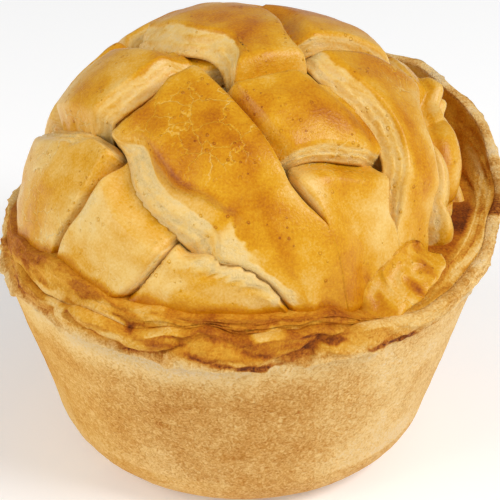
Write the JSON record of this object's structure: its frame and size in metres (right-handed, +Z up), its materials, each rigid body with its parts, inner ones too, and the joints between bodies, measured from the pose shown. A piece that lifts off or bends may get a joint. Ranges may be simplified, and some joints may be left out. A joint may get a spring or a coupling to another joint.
{
  "type": "chicken pie",
  "caption": "Individual chicken pie: a deep pastry case that leans out to a ruffled collar, closed by a domed lid of woven, egg-glazed pastry strips.",
  "frame": {"origin": "centre of the flat foot that the pie stands on", "axes": "+Z up through the top of the lid, -Y towards the front that the picture shows, +X to its right"},
  "size_m": [0.0949, 0.0927, 0.0845],
  "materials": {
    "case_crust": "dry matte baked pastry",
    "glazed_crust": "browned pastry under a thin egg glaze"
  },
  "bodies": {
    "root": {"pastry_case": "case_crust", "lid_strip_a1": "glazed_crust", "lid_strip_a2": "glazed_crust", "lid_strip_a3": "glazed_crust", "lid_strip_a4": "glazed_crust", "lid_strip_a5": "glazed_crust", "lid_strip_a6": "glazed_crust", "lid_strip_b1": "glazed_crust", "lid_strip_b2": "glazed_crust", "lid_strip_b3": "glazed_crust", "lid_strip_b4": "glazed_crust", "lid_flap": "glazed_crust"}
  },
  "joints": []
}
